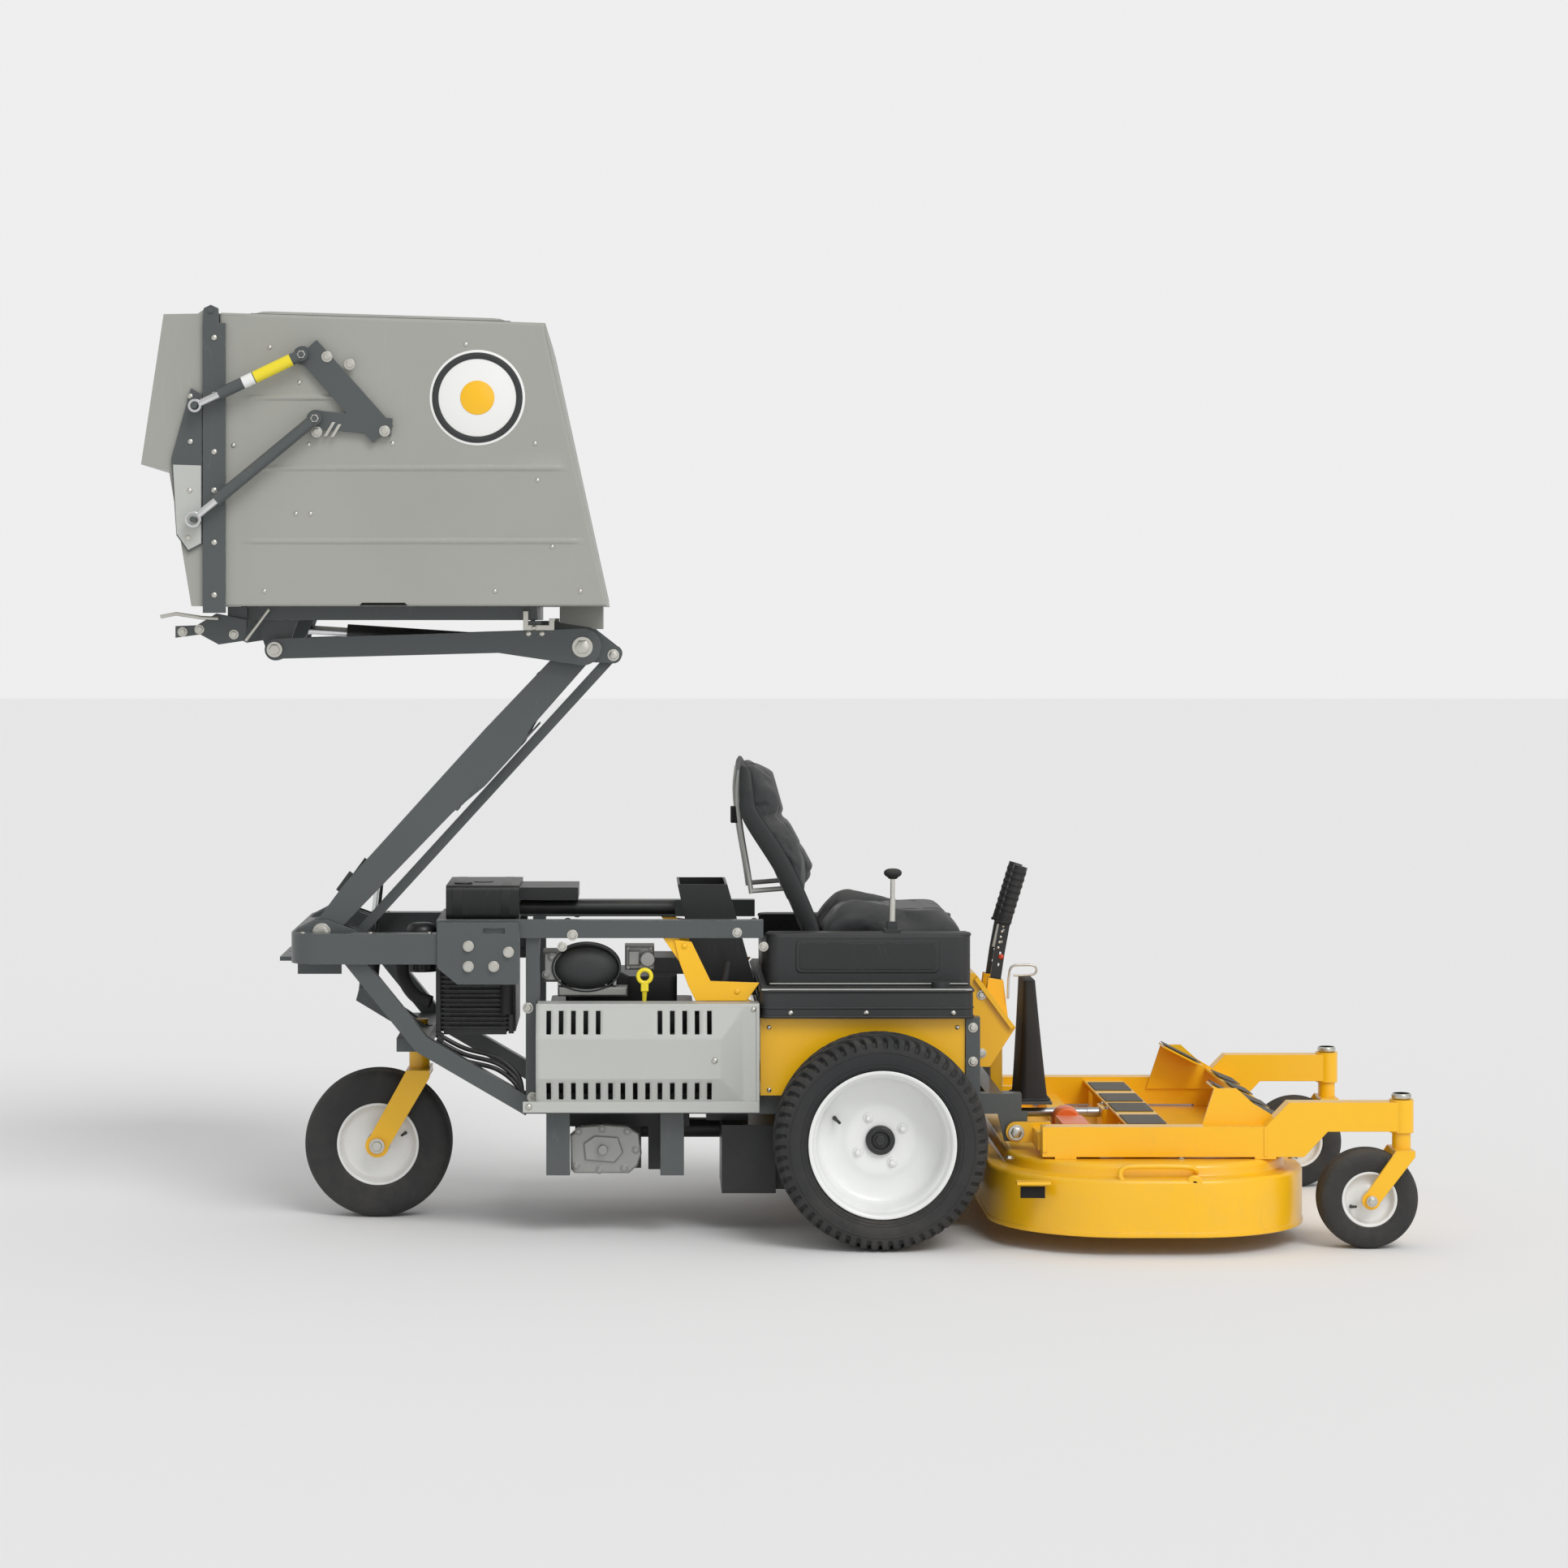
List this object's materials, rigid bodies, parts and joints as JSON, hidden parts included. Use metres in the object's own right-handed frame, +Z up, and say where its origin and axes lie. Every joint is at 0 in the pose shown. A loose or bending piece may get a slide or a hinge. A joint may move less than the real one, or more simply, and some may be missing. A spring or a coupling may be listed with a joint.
{
  "type": "zero turn mower",
  "caption": "Front-deck zero turn mower with a rear grass bin held up on a folding lift, white-rimmed drive wheels, swivelling casters and a padded seat.",
  "frame": {"origin": "ground level under the middle of the whole machine", "axes": "+X forward to the front casters, +Y to the side away from the muffler guard, +Z up"},
  "size_m": [2.98, 1.28, 2.2],
  "materials": {
    "frame_paint": "satin dark blue-grey paint",
    "yellow_paint": "gloss yellow-orange paint",
    "bin_paint": "satin warm grey paint",
    "guard_paint": "satin light grey paint",
    "black_plastic": "moulded black plastic",
    "black_paint": "satin black paint",
    "cast_metal": "sand-cast, dark grey",
    "seat_vinyl": "black vinyl",
    "tyre_rubber": "black tyre rubber",
    "rim_paint": "gloss white paint",
    "blade_steel": "brushed steel",
    "zinc": "zinc plated steel",
    "chrome_rod": "polished chrome"
  },
  "bodies": {
    "chassis": {"main_frame": "frame_paint", "lift_frame": "frame_paint", "engine_block": "cast_metal", "air_cleaner": "black_plastic", "muffler": "black_paint", "muffler_guard": "guard_paint", "transmission": "cast_metal", "blower_duct": "black_paint", "radiator": "black_plastic", "hydraulic_tank": "black_plastic", "oil_filter": "black_paint", "fuel_tanks": "black_plastic", "body_panels": "yellow_paint", "seat_base": "black_plastic", "pedestal_cover": "black_plastic", "chassis_bolts": "zinc"},
    "drive_wheel_right": {"drive_rim_right": "rim_paint", "drive_tyre_right": "tyre_rubber"},
    "drive_wheel_left": {"drive_rim_left": "rim_paint", "drive_tyre_left": "tyre_rubber"},
    "tail_caster": {"tail_fork": "yellow_paint"},
    "tail_wheel": {"tail_rim": "rim_paint", "tail_tyre": "tyre_rubber"},
    "deck": {"deck_shell": "yellow_paint", "deck_frame": "yellow_paint", "deck_gearbox": "yellow_paint", "footrest": "yellow_paint"},
    "deck_shaft": {"deck_drive_shaft": "blade_steel"},
    "blade_right": {"blade_right": "blade_steel"},
    "blade_left": {"blade_left": "blade_steel"},
    "front_caster_right": {"caster_fork_right": "yellow_paint"},
    "front_wheel_right": {"caster_rim_right": "rim_paint", "caster_tyre_right": "tyre_rubber"},
    "front_caster_left": {"caster_fork_left": "yellow_paint"},
    "front_wheel_left": {"caster_rim_left": "rim_paint", "caster_tyre_left": "tyre_rubber"},
    "lift_arm": {"lift_arms": "frame_paint"},
    "level_link": {"level_links": "frame_paint"},
    "lift_barrel": {"lift_cylinder_barrel": "black_paint"},
    "lift_rod": {"lift_cylinder_rod": "chrome_rod"},
    "upper_frame": {"upper_frame": "frame_paint"},
    "bin": {"bin_platform": "frame_paint", "bin_side_right": "bin_paint", "bin_side_left": "bin_paint", "bin_wrap": "bin_paint", "bin_posts": "frame_paint"},
    "bin_door": {"bin_door": "bin_paint", "door_brackets": "frame_paint"},
    "upper_strut_barrel": {"upper_strut_barrels": "black_paint"},
    "upper_strut_rod": {"upper_strut_rods": "zinc"},
    "lower_strut_barrel": {"lower_strut_barrels": "black_paint"},
    "lower_strut_rod": {"lower_strut_rods": "zinc"},
    "dump_barrel": {"dump_cylinder_barrel": "black_paint"},
    "dump_rod": {"dump_cylinder_rod": "chrome_rod"},
    "seat": {"seat_shell": "black_plastic", "seat_cushion": "seat_vinyl", "seat_back_cushion": "seat_vinyl"},
    "steering_lever_right": {"steering_lever_right": "black_paint"},
    "steering_lever_left": {"steering_lever_left": "black_paint"},
    "speed_lever": {"speed_lever": "blade_steel"}
  },
  "joints": [
    {"name": "drive_spin_right", "type": "hinge", "parent": "chassis", "child": "drive_wheel_right", "pos_m": [0.23898, -0.484, 0.25], "axis": [0, 1, 0], "continuous": true},
    {"name": "drive_spin_left", "type": "hinge", "parent": "chassis", "child": "drive_wheel_left", "pos_m": [0.23898, 0.484, 0.25], "axis": [0, 1, 0], "continuous": true},
    {"name": "tail_swivel", "type": "hinge", "parent": "chassis", "child": "tail_caster", "pos_m": [-0.86302, 0, 0.418], "axis": [0, 0, 1], "continuous": true},
    {"name": "tail_spin", "type": "hinge", "parent": "tail_caster", "child": "tail_wheel", "pos_m": [-0.96202, 0, 0.18], "axis": [0, 1, 0], "continuous": true},
    {"name": "deck_tilt", "type": "hinge", "parent": "chassis", "child": "deck", "pos_m": [0.56898, 0, 0.25], "axis": [0, -1, 0], "range_deg": [0, 10]},
    {"name": "caster_swivel_right", "type": "hinge", "parent": "deck", "child": "front_caster_right", "pos_m": [1.45498, -0.486, 0.268], "axis": [0, 0, 1], "continuous": true},
    {"name": "caster_spin_right", "type": "hinge", "parent": "front_caster_right", "child": "front_wheel_right", "pos_m": [1.37398, -0.486, 0.116], "axis": [0, 1, 0], "continuous": true},
    {"name": "caster_swivel_left", "type": "hinge", "parent": "deck", "child": "front_caster_left", "pos_m": [1.45498, 0.486, 0.268], "axis": [0, 0, 1], "continuous": true},
    {"name": "caster_spin_left", "type": "hinge", "parent": "front_caster_left", "child": "front_wheel_left", "pos_m": [1.37398, 0.486, 0.116], "axis": [0, 1, 0], "continuous": true},
    {"name": "shaft_spin", "type": "hinge", "parent": "deck", "child": "deck_shaft", "pos_m": [0.63898, 0, 0.252], "axis": [1, 0, 0], "continuous": true},
    {"name": "blade_spin_right", "type": "hinge", "parent": "deck", "child": "blade_right", "pos_m": [0.87348, -0.30464, 0.07], "axis": [0, 0, 1], "continuous": true},
    {"name": "blade_spin_left", "type": "hinge", "parent": "deck", "child": "blade_left", "pos_m": [0.87348, 0.30464, 0.07], "axis": [0, 0, 1], "continuous": true},
    {"name": "lift_swing", "type": "hinge", "parent": "chassis", "child": "lift_arm", "pos_m": [-1.08002, 0, 0.718], "axis": [0, -1, 0], "range_deg": [-40, 0]},
    {"name": "knee_fold", "type": "hinge", "parent": "lift_arm", "child": "upper_frame", "pos_m": [-0.45798, 0, 1.39802], "axis": [0, -1, 0], "range_deg": [0, 40]},
    {"name": "level_link_swing", "type": "hinge", "parent": "chassis", "child": "level_link", "pos_m": [-1.00702, 0, 0.698], "axis": [0, -1, 0], "range_deg": [-40, 0]},
    {"name": "lift_barrel_swing", "type": "hinge", "parent": "chassis", "child": "lift_barrel", "pos_m": [-0.99102, 0, 0.54], "axis": [0, -1, 0], "range_deg": [-17.96, 0]},
    {"name": "lift_rod_slide", "type": "slide", "parent": "lift_barrel", "child": "lift_rod", "axis": [0.104, 0, 0.9946], "range_m": [-0.09201, 0]},
    {"name": "bin_dump", "type": "hinge", "parent": "upper_frame", "child": "bin", "pos_m": [-1.18798, 0, 1.39202], "axis": [0, -1, 0], "range_deg": [0, 65]},
    {"name": "dump_barrel_swing", "type": "hinge", "parent": "upper_frame", "child": "dump_barrel", "pos_m": [-0.70098, 0, 1.41002], "axis": [0, -1, 0], "range_deg": [0, 0.7908]},
    {"name": "dump_rod_slide", "type": "slide", "parent": "dump_barrel", "child": "dump_rod", "axis": [-0.9979, 0, 0.0651], "range_m": [0, 0.0589]},
    {"name": "bin_door_swing", "type": "hinge", "parent": "bin", "child": "bin_door", "pos_m": [-1.32498, 0, 2.18602], "axis": [0, 1, 0], "range_deg": [0, 25.01]},
    {"name": "upper_strut_swing", "type": "hinge", "parent": "bin", "child": "upper_strut_barrel", "pos_m": [-1.10998, 0, 2.08102], "axis": [0, 1, 0], "range_deg": [0, 11.75]},
    {"name": "upper_strut_slide", "type": "slide", "parent": "upper_strut_barrel", "child": "upper_strut_rod", "axis": [-0.9023, 0, -0.4312], "range_m": [0, 0.07473]},
    {"name": "lower_strut_swing", "type": "hinge", "parent": "bin", "child": "lower_strut_barrel", "pos_m": [-1.07898, 0, 1.93202], "axis": [0, 1, 0], "range_deg": [0, 20.05]},
    {"name": "lower_strut_slide", "type": "slide", "parent": "lower_strut_barrel", "child": "lower_strut_rod", "axis": [-0.7704, 0, -0.6375], "range_m": [0, 0.14843]},
    {"name": "seat_tilt", "type": "hinge", "parent": "chassis", "child": "seat", "pos_m": [0.46498, 0, 0.652], "axis": [0, 1, 0], "range_deg": [0, 40]},
    {"name": "steering_right", "type": "hinge", "parent": "chassis", "child": "steering_lever_right", "pos_m": [0.54498, -0.06, 0.568], "axis": [0, 1, 0], "range_deg": [-12, 12]},
    {"name": "steering_left", "type": "hinge", "parent": "chassis", "child": "steering_lever_left", "pos_m": [0.54498, 0.06, 0.568], "axis": [0, 1, 0], "range_deg": [-12, 12]},
    {"name": "speed_swing", "type": "hinge", "parent": "chassis", "child": "speed_lever", "pos_m": [0.27898, -0.3, 0.737], "axis": [0, 1, 0], "range_deg": [-20, 20]}
  ],
  "couplings": [
    {"joint": "blade_spin_right", "follows": "shaft_spin", "ratio": 1},
    {"joint": "blade_spin_left", "follows": "shaft_spin", "ratio": -1},
    {"joint": "knee_fold", "follows": "lift_swing", "ratio": -1},
    {"joint": "level_link_swing", "follows": "lift_swing", "ratio": 1},
    {"joint": "lift_barrel_swing", "follows": "lift_swing", "ratio": 0.44879},
    {"joint": "lift_rod_slide", "follows": "lift_swing", "m_per_rad": 0.13166},
    {"joint": "dump_barrel_swing", "follows": "bin_dump", "ratio": 0.012012},
    {"joint": "dump_rod_slide", "follows": "bin_dump", "m_per_rad": 0.051834},
    {"joint": "bin_door_swing", "follows": "bin_dump", "ratio": 0.38461},
    {"joint": "upper_strut_swing", "follows": "bin_dump", "ratio": 0.18064},
    {"joint": "upper_strut_slide", "follows": "bin_dump", "m_per_rad": 0.065784},
    {"joint": "lower_strut_swing", "follows": "bin_dump", "ratio": 0.30831},
    {"joint": "lower_strut_slide", "follows": "bin_dump", "m_per_rad": 0.13075}
  ]
}
